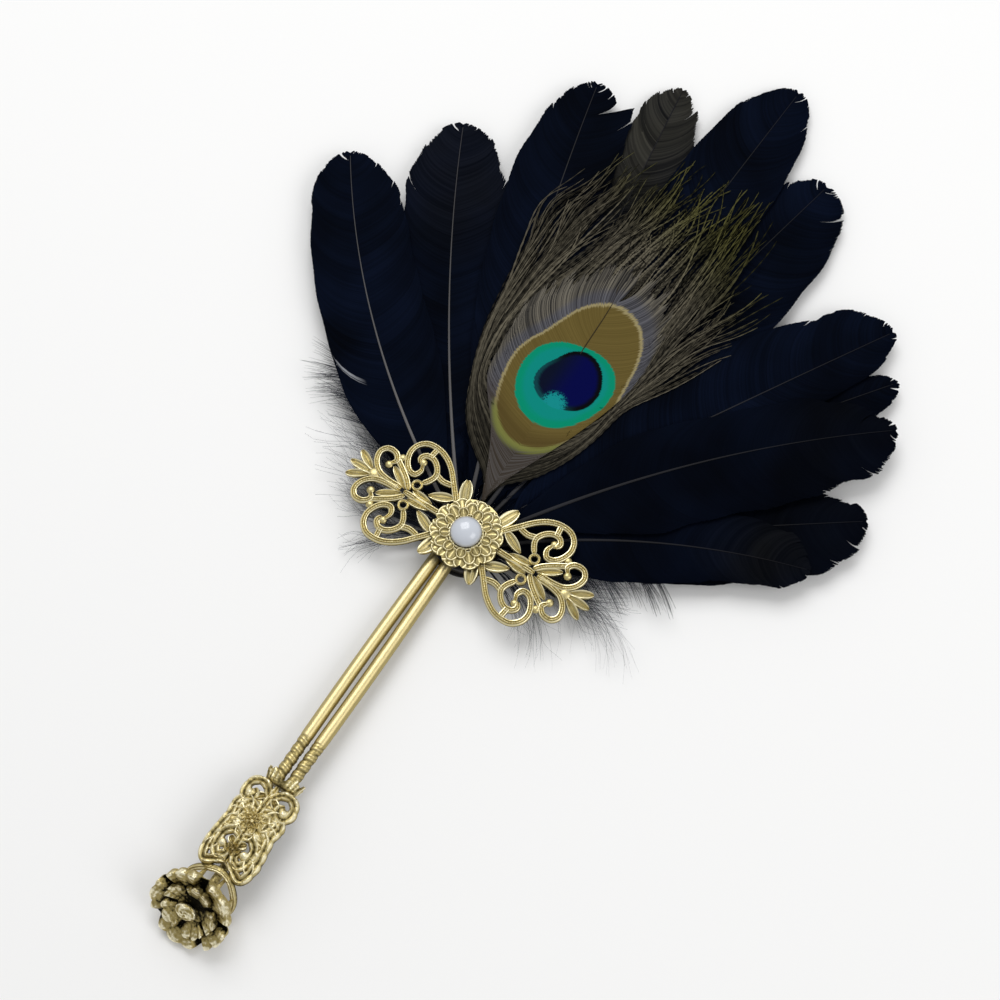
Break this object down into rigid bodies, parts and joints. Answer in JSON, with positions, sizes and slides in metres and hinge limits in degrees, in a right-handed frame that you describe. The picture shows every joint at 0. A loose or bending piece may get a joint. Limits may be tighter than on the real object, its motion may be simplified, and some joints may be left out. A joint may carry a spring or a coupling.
{
  "type": "hand-held feather fan",
  "caption": "Hand-held fan of spread black goose feathers with a peacock eye feather, gilt filigree hub with a half pearl, and a twin-rod metal handle with an openwork grip.",
  "frame": {"origin": "centre of the back felt pad's rear face, on which the fan lies", "axes": "+Z out of the fan's front, +Y from the pommel towards the feather tips, +X to the right seen from the front"},
  "size_m": [0.1956, 0.3125, 0.023],
  "materials": {
    "gilt_plate": "stamped pale gold plate with olive brown in the recesses, satin on the ridges",
    "antique_gold": "cast antique gold, dark in the recesses, worn bright on the ridges",
    "black_felt": "matt black wool felt",
    "set_glue": "set hot glue, tinted dark",
    "goose_feather": "dyed black feather with a navy sheen and a thin grey shaft",
    "peacock_feather": "peacock herl with an iridescent eye of indigo, teal and bronze",
    "down": "loose grey black down",
    "pearl_shell": "pearlescent white coat over a plastic half bead"
  },
  "bodies": {
    "root": {"back_felt_pad": "black_felt", "hub_glue": "set_glue", "front_felt_pad": "black_felt", "filigree_plate": "gilt_plate", "flower_cap": "gilt_plate", "pearl": "pearl_shell", "stem_rod_left": "antique_gold", "stem_rod_right": "antique_gold", "leaf_collar": "antique_gold", "grip_openwork": "antique_gold", "pommel_cup": "antique_gold", "pommel_rosette": "antique_gold", "pommel_medallion": "antique_gold", "peacock_feather": "peacock_feather", "down_tuft_left": "down", "down_tuft_right": "down", "goose_feather_1": "goose_feather", "goose_feather_2": "goose_feather", "goose_feather_3": "goose_feather", "goose_feather_4": "goose_feather", "goose_feather_5": "goose_feather", "goose_feather_6": "goose_feather", "goose_feather_7": "goose_feather", "goose_feather_8": "goose_feather", "goose_feather_9": "goose_feather", "goose_feather_10": "goose_feather", "goose_feather_11": "goose_feather"}
  },
  "joints": []
}
